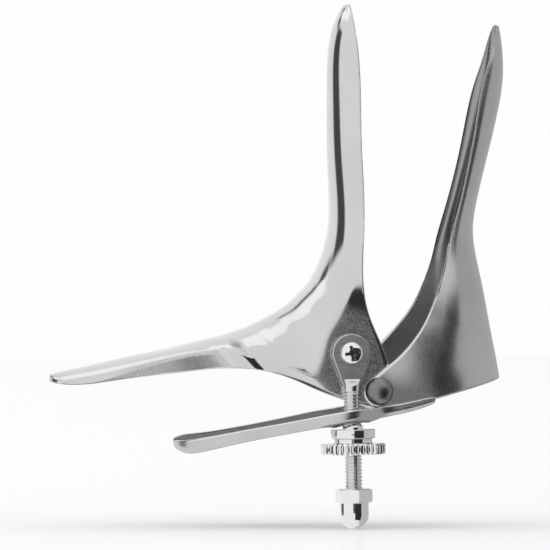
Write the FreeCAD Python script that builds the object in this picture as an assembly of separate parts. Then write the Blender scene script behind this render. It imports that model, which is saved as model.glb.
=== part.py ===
import FreeCAD, Part
import math
import os
from FreeCAD import Vector

# Bivalve speculum with a side screw, in millimetres.
# The origin is the middle of the hinge axis, in the mouth. The blades point up +Z, both
# handles point to -X, and the screw stands on the near side, -Y.

# Sheet and cheeks, from the middle plane outwards
SHEET = 1.2                    # thickness of all three pressings
CHEEK_OUT = 19.8               # outer face of the upper valve's flat cheeks
CHEEK_GAP = 0.25               # play between a cheek and the side plate outside it
BRAZE_GAP = 0.1                # film between a side plate and the lever arm on it
PLATE_IN = CHEEK_OUT + CHEEK_GAP
PLATE_OUT = PLATE_IN + SHEET
ARM_OUT = PLATE_OUT + BRAZE_GAP + SHEET

# Upper valve: blade above the root, cheeks at the bend, handle to the left
UPPER_TIP_Z = 111.9            # hinge to the tip of the upper blade
UPPER_ROOT_Z = 28.5            # height at which the blade grows out of the cheeks
UPPER_BLADE_HALF = 15.4        # half width of the blade near its root
HANDLE_END_X = -93.2           # rounded end of the upper handle
HANDLE_ROOT_X = -27.5          # where the handle leaves the cheeks
HANDLE_HALF = 17.3             # half width of the handle near its root

# Lower valve: blade above the root, wide mouth below it
LOWER_TIP_Z = 106.1            # hinge to the tip of the lower blade
LOWER_ROOT_Z = 30.5            # height at which the blade widens into the mouth
LOWER_BLADE_HALF = 15.8        # half width of the blade near its root

# Lower lever: a tray that is open upwards, forked round the mouth
LEVER_END_X = -57.4            # raked end for the thumb
LEVER_ROOT_X = 1.5             # where the arms begin
LEVER_ARM_END_X = 16.2         # rounded right ends of the arms
EAR_ROOM = 1.1                 # between the pressed seat and the near flange's outer face
LEVER_BEND = 1.9               # outer radius of the bend between web and flange
FORK_CENTRE_X = 4.0            # the fork's throat is half an ellipse round this place
FORK_DEPTH = 16.0
LEVER_UNDER_Z = -7.25          # underside of the web at the hinge, along its straight stretch
LEVER_SLOPE = 0.19             # rise of the web towards the hinge

FLAT_RIM = 0.5                 # straight part of a rolled edge before its arch begins
MIN_BEND = 0.25                # smallest inner radius of a bend
BEND_SHARE = 0.6               # a low flange's bend takes this share of its height

# Hinge rivets
RIVET_SHANK_R = 2.0
RIVET_HEAD_R = 4.0
RIVET_HEAD_H = 3.1
RIVET_TAIL_R = 3.2
RIVET_TAIL_H = 0.9
RIVET_RIM_H = 0.7              # straight rim under the dome
RIVET_TAIL_TAPER = 0.8
RUNNING = 0.05                 # radial play of a pin in its hole
SNUG = 0.02                    # radial play of a pin fixed in its hole

# Screw: eye, threaded rod, seat in the lever
EYE_X = -8.05
EYE_Z = 11.0
ROD_LEAN = 1.0                 # degrees from upright at rest, with the foot towards +X
EYE_R = 5.5
EYE_THICK = 2.2
EYE_NECK = 9.6                 # from the eye's centre to where the shank is round
NECK_TAPER_H = 2.4             # height over which the round shank thins to the flat eye
ROD_R = 2.5
ROD_PLAY = 0.2                 # between the shank and the cheek that it passes
ROD_Y = -(CHEEK_OUT + ROD_PLAY + ROD_R)
ROD_BOTTOM_Z = -36.0
THREAD_PLAY = 0.06             # radial, between the rod and the bore of a nut
SLOT_HALF_WIDTH = 3.15
SLOT_LEFT = 1.9                # how far the rod's path runs left of the rod's place at rest
SLOT_RIGHT = 1.3
DISH_LONG_R = 8.3              # pressed seat under the slot, oval in plan
DISH_WIDE_R = 4.3
DISH_DEPTH = 1.1
EAR_BULGE_OUT = DISH_WIDE_R + EAR_ROOM - ROD_Y

# Eye screw, its shouldered bush and its nut
BUSH_R = 2.2
BUSH_FLANGE_R = 4.0
BUSH_END_PLAY = 0.1            # between the eye and what holds it on each side
SEAT_FILM = 0.04               # between a cheek and what is clamped on it
SCREW_R = 1.5
SCREW_HEAD_R = 3.1
SCREW_HEAD_H = 1.9
SCREW_RIM_H = 0.9              # straight rim under the crown
SCREW_BEYOND_NUT = 0.8
SCREW_NUT_FLATS = 5.5
SCREW_NUT_H = 2.3

# Seat washer, knurled nut and cap nut, from the lever downwards
WASHER_TOP_Z = -10.8
WASHER_R = 6.4
WASHER_H = 2.6
WASHER_EDGE = 0.25
HUB_R = 3.0                    # domed shoulder that enters the slot
HUB_H = 1.2
NUT_GAP = 0.05
COLLAR_R = 5.55
COLLAR_H = 1.4
KNURL_R = 9.3
KNURL_H = 3.1
KNURL_TEETH = 36
KNURL_DEPTH = 0.55
KNURL_GROOVE = 0.62            # share of the pitch that a groove takes
KNURL_EDGE = 0.4
CAP_TOP_Z = -27.8
CAP_FLATS = 9.5
CAP_HEX_H = 4.0
CAP_TURN = 11.0                # degrees by which the hexagon is turned about the rod
CAP_DOME_R = 4.15
CAP_DOME_H = 7.5
CAP_FLOOR = 0.3                # between the rod's end and the bottom of the cap's bore
HEX_FACE = 0.97                # flat end face of a nut, as a share of its width across flats
HEX_SLOPE = 30.0               # degrees of the chamfer on its corners

REACH = 5.0                    # how far a cutting shape runs past what it cuts


def along(start, end, share):
    return start + (end - start) * share


def upper_rows():
    """Cross-sections from the blade's tip round to the handle's end.

    Each row: rim x, rim z, ridge x, ridge z, half width, flat wall, extra length of the far wall.
    """
    blade = [
        # share of the way from root to tip, rim x, ridge x, ridge drop, share of half width
        (1.000, -6.5, -8.1, 0.2, 0.15),
        (0.952, -6.0, -10.4, 0.4, 0.48),
        (0.902, -5.5, -11.8, 0.4, 0.63),
        (0.800, -4.6, -12.8, 0.0, 0.72),
        (0.644, -4.2, -13.0, -0.2, 0.79),
        (0.487, -4.0, -12.9, -0.3, 0.85),
        (0.343, -3.5, -12.4, -0.5, 0.91),
        (0.199, -3.6, -12.8, -0.8, 1.00),
    ]
    rows = []
    for share, rim_x, ridge_x, drop, width in blade:
        z = along(UPPER_ROOT_Z, UPPER_TIP_Z, share)
        rows.append((rim_x, z, ridge_x, z - drop, width * UPPER_BLADE_HALF, FLAT_RIM, 0.0))
    rows.extend([
        (-4.1, 36.5, -15.2, 37.4, 17.4, 1.0, 0.0),
        (-3.9, 28.6, -18.2, 31.5, 19.2, 3.0, 0.0),
        (-2.3, 21.1, -20.9, 28.4, CHEEK_OUT, 7.5, 0.0),
        (1.0, 13.3, -23.5, 25.9, CHEEK_OUT, 14.0, 0.0),
        (3.9, 5.2, -25.8, 24.1, CHEEK_OUT, 20.5, 0.0),
        (4.6, -1.6, -27.8, 22.8, CHEEK_OUT, 24.0, 0.0),
        (0.5, -4.6, -29.6, 21.7, CHEEK_OUT, 21.0, 0.0),
        (-6.0, -3.4, -31.5, 20.7, CHEEK_OUT, 14.0, 0.0),
        (-13.0, -0.8, -33.6, 19.7, CHEEK_OUT, 5.5, 0.0),
        (-20.0, 2.3, -36.4, 18.4, 19.7, 2.0, 0.0),
    ])
    handle = [
        # share of the way from root to end, rim z, ridge x minus rim x, ridge z, share of half width
        (0.000, 4.8, -12.2, 17.2, 1.090),
        (0.130, 6.3, -8.7, 15.7, 1.000),
        (0.266, 6.5, -6.2, 14.2, 0.895),
        (0.418, 5.5, -4.1, 12.3, 0.785),
        (0.571, 4.3, -2.6, 10.5, 0.705),
        (0.723, 3.0, -1.6, 8.5, 0.650),
        (0.860, 1.9, -1.1, 6.6, 0.580),
        (0.943, 1.9, -0.6, 5.5, 0.455),
        (1.000, 2.6, -0.3, 4.6, 0.150),
    ]
    for share, rim_z, lean, ridge_z, width in handle:
        x = along(HANDLE_ROOT_X, HANDLE_END_X, share)
        rows.append((x, rim_z, x + lean, ridge_z, width * HANDLE_HALF, FLAT_RIM, 0.0))
    return rows


def lower_rows():
    """Cross-sections of the lower valve, from the blade's tip down to the mouth's rim.

    The far wall runs on past the near one at the mouth, where the near one makes way for the eye.
    """
    blade = [
        # share of the way from root to tip, rim x, back x, back drop, share of half width, extra
        (1.000, 36.0, 37.3, 0.3, 0.14, 0.0),
        (0.942, 34.8, 38.0, 0.9, 0.44, 0.0),
        (0.872, 33.6, 38.4, 1.1, 0.60, 0.0),
        (0.786, 31.6, 38.2, 1.1, 0.69, 0.1),
        (0.679, 29.9, 36.9, 0.7, 0.76, 0.4),
        (0.553, 28.3, 34.8, 0.2, 0.81, 0.6),
        (0.426, 26.3, 32.5, -0.3, 0.86, 0.7),
        (0.306, 24.1, 30.5, -0.8, 0.92, 0.9),
        (0.200, 21.8, 29.5, -1.2, 1.00, 0.8),
        (0.093, 19.8, 30.4, -1.4, 1.11, 0.6),
    ]
    rows = []
    for share, rim_x, back_x, drop, width, extra in blade:
        z = along(LOWER_ROOT_Z, LOWER_TIP_Z, share)
        rows.append((rim_x, z, back_x, z - drop, width * LOWER_BLADE_HALF, FLAT_RIM, extra))
    rows.extend([
        (17.7, 30.7, 31.9, 32.0, 19.4, 2.0, 0.8),
        (15.3, 24.2, 33.1, 25.9, 20.7, 4.0, 1.6),
        (12.1, 17.9, 34.1, 20.5, PLATE_OUT, 6.5, 3.6),
        (8.4, 12.9, 34.9, 16.4, PLATE_OUT, 9.5, 4.8),
        (4.3, 8.7, 35.6, 13.0, PLATE_OUT, 13.0, 4.2),
        (-0.8, 4.5, 36.2, 10.2, PLATE_OUT, 17.0, 2.4),
        (-4.5, -0.1, 36.6, 7.9, PLATE_OUT, 20.0, 0.7),
        (-2.6, -3.9, 37.0, 5.8, PLATE_OUT, 18.0, 0.0),
        (3.0, -6.0, 37.3, 3.5, PLATE_OUT, 12.5, 0.0),
    ])
    return rows


def quarter(start, corner, end):
    """Quarter of an ellipse from start to end, with its tangents meeting at corner."""
    curve = Part.BSplineCurve()
    curve.buildFromPolesMultsKnots([start, corner, end], [3, 3], [0.0, 1.0], False, 2,
                                   [1.0, math.sqrt(0.5), 1.0])
    return curve.toShape()


def arch(rim, across, length, half, flat, extra):
    """Poles of one side of a sheet in cross-section: wall, quarter arch, quarter arch, wall."""
    def place(reach, y):
        return Vector(rim.x + across.x * reach, y, rim.z + across.z * reach)
    return [
        place(0, -half),
        place(flat, -half),
        place(length, -half),
        place(length, 0),
        place(length, half),
        place(flat, half),
        place(-extra, half),
    ]


ARCH_STEPS = [1, 2, 2, 1]      # a straight wall, two quarter arches, a straight wall


def sheet_steps(steps):
    """Segments of a closed sheet section: outside, edge, inside backwards, edge."""
    return steps + [1] + steps[::-1] + [1]


def station_places(sections):
    """Places of the sections along the sweep, by their mean distance from each other."""
    places = [0.0]
    for one, two in zip(sections, sections[1:]):
        steps = [a.distanceToPoint(b) for a, b in zip(one, two)]
        places.append(places[-1] + sum(steps) / len(steps))
    return [place / places[-1] for place in places]


def strip(curves):
    """Surface whose cross-section is straight between two curves, a quarter arch on three."""
    degree = len(curves) - 1
    weight = [1.0, 1.0] if degree == 1 else [1.0, math.sqrt(0.5), 1.0]
    poles = [list(row) for row in zip(*[curve.getPoles() for curve in curves])]
    weights = [weight for row in poles]
    first = curves[0]
    surface = Part.BSplineSurface()
    surface.buildFromPolesMultsKnots(poles, first.getMultiplicities(), [degree + 1, degree + 1],
                                     first.getKnots(), [0.0, 1.0], False, False,
                                     first.Degree, degree, weights)
    return surface


def skin(sections, steps):
    """Solid through closed sections of the same poles; steps gives each segment's degree."""
    places = station_places(sections)
    curves = []
    for points in zip(*sections):
        curve = Part.BSplineCurve()
        curve.interpolate(Points=list(points), Parameters=places)
        curves.append(curve)
    curves.append(curves[0])
    faces = []
    first_edges = []
    last_edges = []
    start = 0
    for degree in steps:
        surface = strip(curves[start:start + degree + 1])
        faces.append(surface.toShape())
        first_edges.append(surface.uIso(0.0).toShape())
        last_edges.append(surface.uIso(1.0).toShape())
        start += degree
    faces.append(Part.Face(Part.Wire(first_edges)))
    faces.append(Part.Face(Part.Wire(last_edges)))
    shell = Part.Shell(faces)
    shell.sewShape()
    return Part.Solid(shell)


def trough(rows):
    """Pressed trough: thin arched cross-sections skinned into one sheet."""
    sections = []
    for rim_x, rim_z, ridge_x, ridge_z, half, flat, extra in rows:
        rim = Vector(rim_x, 0, rim_z)
        across = Vector(ridge_x - rim_x, 0, ridge_z - rim_z)
        length = across.Length
        across.normalize()
        outside = arch(rim, across, length, half, flat, extra)
        inside = arch(rim, across, length - SHEET, half - SHEET, flat, extra)
        sections.append(outside + inside[::-1])
    return skin(sections, sheet_steps(ARCH_STEPS))


def rod_along_y(radius, y_from, y_to, x=0.0, z=0.0):
    return Part.makeCylinder(radius, y_to - y_from, Vector(x, y_from, z), Vector(0, 1, 0))


def upper_valve():
    body = trough(upper_rows())
    reach = PLATE_OUT + REACH
    body = body.cut(rod_along_y(RIVET_SHANK_R + RUNNING, -reach, reach))
    return body.cut(rod_along_y(SCREW_R + SNUG, -reach, 0, EYE_X, EYE_Z))


def lower_valve():
    body = trough(lower_rows())
    reach = PLATE_OUT + REACH
    return body.cut(rod_along_y(RIVET_SHANK_R + SNUG, -reach, reach))


def hinge_rivet(side):
    """Domed rivet of one side: side is -1 for near, 1 for far."""
    tail_face = CHEEK_OUT - SHEET - RUNNING
    head_base = PLATE_OUT + SNUG
    outline = [
        Vector(0, tail_face - RIVET_TAIL_H, 0),
        Vector(RIVET_TAIL_R - RIVET_TAIL_TAPER, tail_face - RIVET_TAIL_H, 0),
        Vector(RIVET_TAIL_R, tail_face, 0),
        Vector(RIVET_SHANK_R, tail_face, 0),
        Vector(RIVET_SHANK_R, head_base, 0),
        Vector(RIVET_HEAD_R, head_base, 0),
        Vector(RIVET_HEAD_R, head_base + RIVET_RIM_H, 0),
    ]
    crown = Vector(0, head_base + RIVET_HEAD_H, 0)
    edges = [Part.makeLine(a, b) for a, b in zip(outline, outline[1:])]
    edges.append(quarter(outline[-1], Vector(RIVET_HEAD_R, crown.y, 0), crown))
    edges.append(Part.makeLine(crown, outline[0]))
    rivet = Part.Face(Part.Wire(edges)).revolve(Vector(0, 0, 0), Vector(0, 1, 0), 360)
    if side < 0:
        rivet = rivet.mirror(Vector(0, 0, 0), Vector(0, 1, 0))
    return rivet


def lever_rows():
    """Cross-sections of the lever, from its raked end to the ends of the arms.

    Each row: x, underside z, flange top z, near half width, far half width, extra far height.
    """
    tray = [
        # share of the way from root to end, underside, height, near and far half width, extra
        (1.000, -15.9, 1.6, 2.4, 2.4, 0.2),
        (0.982, -17.2, 2.9, 6.6, 6.6, 0.8),
        (0.935, -18.1, 4.1, 10.6, 10.5, 1.1),
        (0.860, -17.4, 4.2, 13.4, 13.0, 0.7),
        (0.705, -15.2, 3.8, 16.7, 16.0, 0.2),
        (0.535, -13.05, 3.6, 20.6, 18.7, 0.0),
        (0.365, -11.05, 3.6, 25.0, 20.6, 0.0),
        (0.246, -9.75, 3.7, EAR_BULGE_OUT - 0.3, 21.6, 0.0),
        (0.153, -8.8, 3.65, EAR_BULGE_OUT, 22.3, 0.0),
        (0.076, -8.1, 3.6, EAR_BULGE_OUT - 2.4, ARM_OUT, 0.0),
        (0.000, -7.5, 3.4, ARM_OUT + 0.4, ARM_OUT, 0.0),
    ]
    arms = [
        # share of the way from root to end, underside, height
        (0.33, -6.6, 3.1),
        (0.66, -5.3, 2.8),
        (0.88, -4.15, 2.3),
        (1.00, -3.3, 1.6),
    ]
    rows = []
    for share, under, height, near, far, extra in tray:
        x = along(LEVER_ROOT_X, LEVER_END_X, share)
        rows.append((x, under, under + height, near, far, extra))
    for share, under, height in arms:
        x = along(LEVER_ROOT_X, LEVER_ARM_END_X, share)
        rows.append((x, under, under + height, ARM_OUT, ARM_OUT, 0.0))
    return rows


def channel(x, under, top, near, far, bend, lift):
    """Poles of an open channel from the near flange's top, down, across and up again."""
    def place(y, z):
        return Vector(x, y, z)
    return [
        place(-near, top),
        place(-near, under + bend),
        place(-near, under),
        place(bend - near, under),
        place(far - bend, under),
        place(far, under),
        place(far, under + bend),
        place(far, top + lift),
    ]


CHANNEL_STEPS = [1, 2, 1, 2, 1]  # flange, bend, web, bend, flange


def seat_place():
    """Where the rod's axis meets the web's underside, which is straight by the screw."""
    slant = math.tan(math.radians(ROD_LEAN))
    x = (EYE_X + (EYE_Z - LEVER_UNDER_Z) * slant) / (1 + LEVER_SLOPE * slant)
    return Vector(x, ROD_Y, LEVER_UNDER_Z + LEVER_SLOPE * x)


def tilt_to_web(shape):
    shape.rotate(Vector(0, 0, 0), Vector(0, 1, 0), -math.degrees(math.atan(LEVER_SLOPE)))
    shape.translate(seat_place())
    return shape


def seat_dish(grow):
    """Oval cap of a sphere, pressed down round the slot; grow is the sheet left under it."""
    ball = (DISH_LONG_R ** 2 + DISH_DEPTH ** 2) / (2 * DISH_DEPTH)
    cap = Part.makeSphere(ball + grow, Vector(0, 0, ball - DISH_DEPTH + SHEET))
    squeeze = FreeCAD.Matrix()
    squeeze.scale(1.0, DISH_WIDE_R / DISH_LONG_R, 1.0)
    return tilt_to_web(cap.transformGeometry(squeeze))


def below_web():
    """Space under the middle of the web's sheet, where the dish stands out."""
    size = 3 * DISH_LONG_R
    space = Part.makeBox(size, size, size, Vector(-size / 2, -size / 2, SHEET / 2 - size))
    return tilt_to_web(space)


def screw_slot():
    """Long hole for the rod, which leans as the blades open and close."""
    straight = SLOT_LEFT + SLOT_RIGHT
    height = 8 * SHEET
    slot = Part.makeBox(straight, 2 * SLOT_HALF_WIDTH, height,
                        Vector(-SLOT_LEFT, -SLOT_HALF_WIDTH, -height / 2))
    for end in (-SLOT_LEFT, SLOT_RIGHT):
        slot = slot.fuse(Part.makeCylinder(SLOT_HALF_WIDTH, height, Vector(end, 0, -height / 2)))
    slot.translate(seat_place())
    return slot


def fork_throat():
    """Opening of the fork: straight between the arms, with half an ellipse at its throat."""
    half = PLATE_OUT + BRAZE_GAP
    deep = Part.Ellipse(Vector(0, 0, 0), max(half, FORK_DEPTH), min(half, FORK_DEPTH))
    edge = deep.toShape()
    if half > FORK_DEPTH:
        edge.rotate(Vector(0, 0, 0), Vector(0, 0, 1), 90)
    low = min(row[1] for row in lever_rows()) - REACH
    high = max(row[2] for row in lever_rows()) + REACH
    throat = Part.Face(Part.Wire([edge])).extrude(Vector(0, 0, high - low))
    throat.translate(Vector(FORK_CENTRE_X, 0, low))
    length = LEVER_ARM_END_X + REACH - FORK_CENTRE_X
    straight = Part.makeBox(length, 2 * half, high - low, Vector(FORK_CENTRE_X, -half, low))
    return throat.fuse(straight)


def lower_lever():
    sections = []
    for x, under, top, near, far, lift in lever_rows():
        bend = min(LEVER_BEND, BEND_SHARE * (top - under))
        outside = channel(x, under, top, near, far, bend, lift)
        inner_bend = max(bend - SHEET, MIN_BEND)
        inside = channel(x, under + SHEET, top, near - SHEET, far - SHEET, inner_bend, lift)
        sections.append(outside + inside[::-1])
    body = skin(sections, sheet_steps(CHANNEL_STEPS))
    body = body.cut(fork_throat())
    body = body.fuse(seat_dish(SHEET).common(below_web()))
    body = body.cut(seat_dish(0))
    return body.cut(screw_slot()).removeSplitter()


def tilt_rod(shape):
    """Turns a piece of the screw about the eye, from upright to its place at rest."""
    shape.rotate(Vector(EYE_X, ROD_Y, EYE_Z), Vector(0, 1, 0), -ROD_LEAN)
    return shape


def on_rod(shape):
    """Moves a piece from the Z axis onto the rod."""
    shape.translate(Vector(EYE_X, ROD_Y, 0))
    return tilt_rod(shape)


def teardrop(thickness):
    """Flat eye with straight sides that run down to the shank, centred on the rod's plane."""
    apex = Vector(ROD_R, 0, -EYE_NECK)
    distance = math.hypot(apex.x, apex.z)
    tangent = math.atan2(apex.z, apex.x) + math.acos(EYE_R / distance)
    touch = Vector(EYE_R * math.cos(tangent), 0, EYE_R * math.sin(tangent))
    top = Vector(0, 0, EYE_R)
    mirror_touch = Vector(-touch.x, 0, touch.z)
    mirror_apex = Vector(-apex.x, 0, apex.z)
    edges = [
        Part.makeLine(apex, touch),
        Part.Arc(touch, top, mirror_touch).toShape(),
        Part.makeLine(mirror_touch, mirror_apex),
        Part.makeLine(mirror_apex, apex),
    ]
    face = Part.Face(Part.Wire(edges))
    plate = face.extrude(Vector(0, thickness, 0))
    plate.translate(Vector(EYE_X, ROD_Y - thickness / 2, EYE_Z))
    return plate


def eye_rod():
    plate = teardrop(EYE_THICK)
    neck_z = EYE_Z - EYE_NECK
    shank = Part.makeCylinder(ROD_R, neck_z - ROD_BOTTOM_Z, Vector(EYE_X, ROD_Y, ROD_BOTTOM_Z))
    taper = Part.makeCone(ROD_R, EYE_THICK / 2, NECK_TAPER_H, Vector(EYE_X, ROD_Y, neck_z))
    hole = rod_along_y(BUSH_R + RUNNING, ROD_Y - ROD_R, ROD_Y + ROD_R, EYE_X, EYE_Z)
    return tilt_rod(plate.fuse([shank, taper]).cut(hole).removeSplitter())


def eye_bush():
    """Shouldered bush: its flange spaces the eye from the cheek, its sleeve carries it."""
    cheek = -CHEEK_OUT - SEAT_FILM
    eye_back = ROD_Y + EYE_THICK / 2 + BUSH_END_PLAY
    eye_front = ROD_Y - EYE_THICK / 2 - BUSH_END_PLAY
    flange = rod_along_y(BUSH_FLANGE_R, eye_back, cheek, EYE_X, EYE_Z)
    sleeve = rod_along_y(BUSH_R, eye_front, cheek, EYE_X, EYE_Z)
    bore = rod_along_y(SCREW_R + SNUG, eye_front - REACH, cheek + REACH, EYE_X, EYE_Z)
    return flange.fuse(sleeve).cut(bore).removeSplitter()


def eye_screw():
    """Pan head screw through the bush and the cheek."""
    seat = ROD_Y - EYE_THICK / 2 - BUSH_END_PLAY
    end = -CHEEK_OUT + SHEET + SCREW_NUT_H + SCREW_BEYOND_NUT
    outline = [
        Vector(0, end, 0),
        Vector(SCREW_R, end, 0),
        Vector(SCREW_R, seat, 0),
        Vector(SCREW_HEAD_R, seat, 0),
        Vector(SCREW_HEAD_R, seat - SCREW_RIM_H, 0),
    ]
    crown = Vector(0, seat - SCREW_HEAD_H, 0)
    edges = [Part.makeLine(a, b) for a, b in zip(outline, outline[1:])]
    edges.append(quarter(outline[-1], Vector(SCREW_HEAD_R, crown.y, 0), crown))
    edges.append(Part.makeLine(crown, outline[0]))
    screw = Part.Face(Part.Wire(edges)).revolve(Vector(0, 0, 0), Vector(0, 1, 0), 360)
    screw.translate(Vector(EYE_X, 0, EYE_Z))
    return screw


def chamfered_hex(flats, height, turn=0.0):
    """Hexagonal prism round the Z axis, with its corners turned off at both ends."""
    corner = flats / 2 / math.cos(math.radians(30))
    angles = [math.radians(60 * step + turn) for step in range(7)]
    ring = [Vector(corner * math.cos(a), corner * math.sin(a), 0) for a in angles]
    prism = Part.Face(Part.makePolygon(ring)).extrude(Vector(0, 0, height))
    face = flats / 2 * HEX_FACE
    drop = (corner - face) * math.tan(math.radians(HEX_SLOPE))
    profile = Part.makePolygon([
        Vector(0, 0, 0),
        Vector(face, 0, 0),
        Vector(corner, 0, drop),
        Vector(corner, 0, height - drop),
        Vector(face, 0, height),
        Vector(0, 0, height),
        Vector(0, 0, 0),
    ])
    return prism.common(Part.Face(profile).revolve(Vector(0, 0, 0), Vector(0, 0, 1), 360))


def upright_bore(radius, low, high):
    """Cutting cylinder round the Z axis that runs past both ends."""
    return Part.makeCylinder(radius, high - low + 2 * REACH, Vector(0, 0, low - REACH))


def eye_nut():
    nut = chamfered_hex(SCREW_NUT_FLATS, SCREW_NUT_H)
    nut = nut.cut(upright_bore(SCREW_R + SNUG, 0, SCREW_NUT_H))
    nut.rotate(Vector(0, 0, 0), Vector(1, 0, 0), -90)
    nut.translate(Vector(EYE_X, -CHEEK_OUT + SHEET + SEAT_FILM, EYE_Z))
    return nut


def seat_washer():
    """Washer under the lever, with a domed shoulder that enters the slot."""
    base = WASHER_TOP_Z - WASHER_H
    washer = Part.makeCylinder(WASHER_R, WASHER_H, Vector(0, 0, base))
    washer = washer.makeChamfer(WASHER_EDGE, [washer.Edges[0], washer.Edges[2]])
    dome = Part.makeSphere(HUB_R, Vector(0, 0, WASHER_TOP_Z))
    shoulder = Part.makeCylinder(HUB_R, WASHER_H + HUB_H, Vector(0, 0, base))
    washer = washer.fuse(dome.common(shoulder))
    washer = washer.cut(upright_bore(ROD_R + THREAD_PLAY, base, WASHER_TOP_Z))
    return on_rod(washer.removeSplitter())


def knurled_nut():
    """Knurled disc with a plain collar on top, round the rod."""
    collar_top = WASHER_TOP_Z - WASHER_H - NUT_GAP
    disc_top = collar_top - COLLAR_H
    disc_base = disc_top - KNURL_H
    disc = Part.makeCylinder(KNURL_R, KNURL_H, Vector(0, 0, disc_base))
    disc = disc.makeChamfer(KNURL_EDGE, [disc.Edges[0], disc.Edges[2]])
    half = math.radians(180.0 / KNURL_TEETH) * KNURL_GROOVE
    floor = KNURL_R - KNURL_DEPTH
    outer_x = (KNURL_R + KNURL_DEPTH) * math.cos(half)
    outer_y = (KNURL_R + KNURL_DEPTH) * math.sin(half)
    groove = Part.Face(Part.makePolygon([
        Vector(floor, 0, disc_base - REACH),
        Vector(outer_x, outer_y, disc_base - REACH),
        Vector(outer_x, -outer_y, disc_base - REACH),
        Vector(floor, 0, disc_base - REACH),
    ])).extrude(Vector(0, 0, KNURL_H + 2 * REACH))
    grooves = []
    for tooth in range(KNURL_TEETH):
        turned = groove.copy()
        turned.rotate(Vector(0, 0, 0), Vector(0, 0, 1), 360.0 * tooth / KNURL_TEETH)
        grooves.append(turned)
    disc = disc.cut(grooves)
    collar = Part.makeCylinder(COLLAR_R, collar_top - disc_base, Vector(0, 0, disc_base))
    nut = disc.fuse(collar).cut(upright_bore(ROD_R + THREAD_PLAY, disc_base, collar_top))
    return on_rod(nut.removeSplitter())


def cap_nut():
    """Domed cap nut that closes the rod's lower end."""
    base = CAP_TOP_Z - CAP_HEX_H
    collar = chamfered_hex(CAP_FLATS, CAP_HEX_H, CAP_TURN)
    collar.translate(Vector(0, 0, base))
    centre_z = base - (CAP_DOME_H - CAP_DOME_R)
    barrel = Part.makeCylinder(CAP_DOME_R, base - centre_z, Vector(0, 0, centre_z))
    dome = Part.makeSphere(CAP_DOME_R, Vector(0, 0, centre_z))
    bore_end = ROD_BOTTOM_Z - CAP_FLOOR
    bore = Part.makeCylinder(ROD_R + SNUG, CAP_TOP_Z + REACH - bore_end, Vector(0, 0, bore_end))
    return on_rod(collar.fuse([barrel, dome]).cut(bore).removeSplitter())


def main():
    os.makedirs("parts", exist_ok=True)
    pieces = {
        "upper_valve": upper_valve(),
        "lower_valve": lower_valve(),
        "lower_lever": lower_lever(),
        "hinge_rivet_near": hinge_rivet(-1),
        "hinge_rivet_far": hinge_rivet(1),
        "eye_rod": eye_rod(),
        "eye_bush": eye_bush(),
        "eye_screw": eye_screw(),
        "eye_nut": eye_nut(),
        "seat_washer": seat_washer(),
        "knurled_nut": knurled_nut(),
        "cap_nut": cap_nut(),
    }
    for name, shape in pieces.items():
        print(name, shape.isValid(), len(shape.Solids), round(shape.Volume, 1))
        shape.exportStep("parts/" + name + ".step")


main()
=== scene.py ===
import math

import bmesh
import bpy
import numpy as np
from mathutils import Matrix, Vector

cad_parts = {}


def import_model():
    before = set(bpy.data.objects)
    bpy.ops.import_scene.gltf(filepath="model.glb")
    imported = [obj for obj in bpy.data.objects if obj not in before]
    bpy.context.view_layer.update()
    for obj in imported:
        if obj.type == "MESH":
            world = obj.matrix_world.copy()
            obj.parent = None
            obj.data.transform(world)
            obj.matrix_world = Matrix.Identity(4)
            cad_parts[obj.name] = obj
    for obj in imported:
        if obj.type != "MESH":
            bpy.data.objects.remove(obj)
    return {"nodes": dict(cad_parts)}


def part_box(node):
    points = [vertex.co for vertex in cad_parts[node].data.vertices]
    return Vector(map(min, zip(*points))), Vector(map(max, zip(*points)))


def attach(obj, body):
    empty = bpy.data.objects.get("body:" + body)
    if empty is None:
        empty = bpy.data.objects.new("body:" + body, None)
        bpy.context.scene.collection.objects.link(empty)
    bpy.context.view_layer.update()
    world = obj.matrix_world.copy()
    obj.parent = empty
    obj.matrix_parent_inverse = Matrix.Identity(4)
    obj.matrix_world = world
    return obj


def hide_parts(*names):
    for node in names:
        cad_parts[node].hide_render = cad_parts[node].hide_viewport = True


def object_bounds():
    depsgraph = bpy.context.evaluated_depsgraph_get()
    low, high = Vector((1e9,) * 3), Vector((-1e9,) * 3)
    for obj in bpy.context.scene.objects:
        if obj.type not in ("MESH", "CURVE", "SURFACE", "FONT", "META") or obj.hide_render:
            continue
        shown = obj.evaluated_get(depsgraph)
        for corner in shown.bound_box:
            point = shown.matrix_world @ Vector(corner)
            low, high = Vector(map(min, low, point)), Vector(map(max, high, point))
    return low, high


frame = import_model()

# Looks of a stainless bivalve speculum. Sizes are in millimetres, unless a comment says otherwise,
# until a mesh is made.
MM = 0.001
cad_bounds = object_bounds()


def node_box(node):
    """Lowest and highest corner of a CAD node, in millimetres."""
    low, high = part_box(node)
    return np.array(low) / MM, np.array(high) / MM


def node_middle(node):
    low, high = node_box(node)
    return (low + high) / 2


# Sheet and cheeks, as in the CAD model
SHEET = 1.2
CHEEK_OUT = 19.8
CHEEK_GAP = 0.25
BRAZE_GAP = 0.1
PLATE_OUT = CHEEK_OUT + CHEEK_GAP + SHEET
ARM_OUT = PLATE_OUT + BRAZE_GAP + SHEET

FLAT_RIM = 0.15                # straight part of a rolled edge before its arch begins
UPPER_TIP_Z = 111.9
UPPER_ROOT_Z = 28.5
UPPER_BLADE_HALF = 15.4
HANDLE_END_X = -93.2
HANDLE_ROOT_X = -27.5
HANDLE_HALF = 17.3

LOWER_TIP_Z = 106.1
LOWER_ROOT_Z = 30.5
LOWER_BLADE_HALF = 15.8

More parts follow.
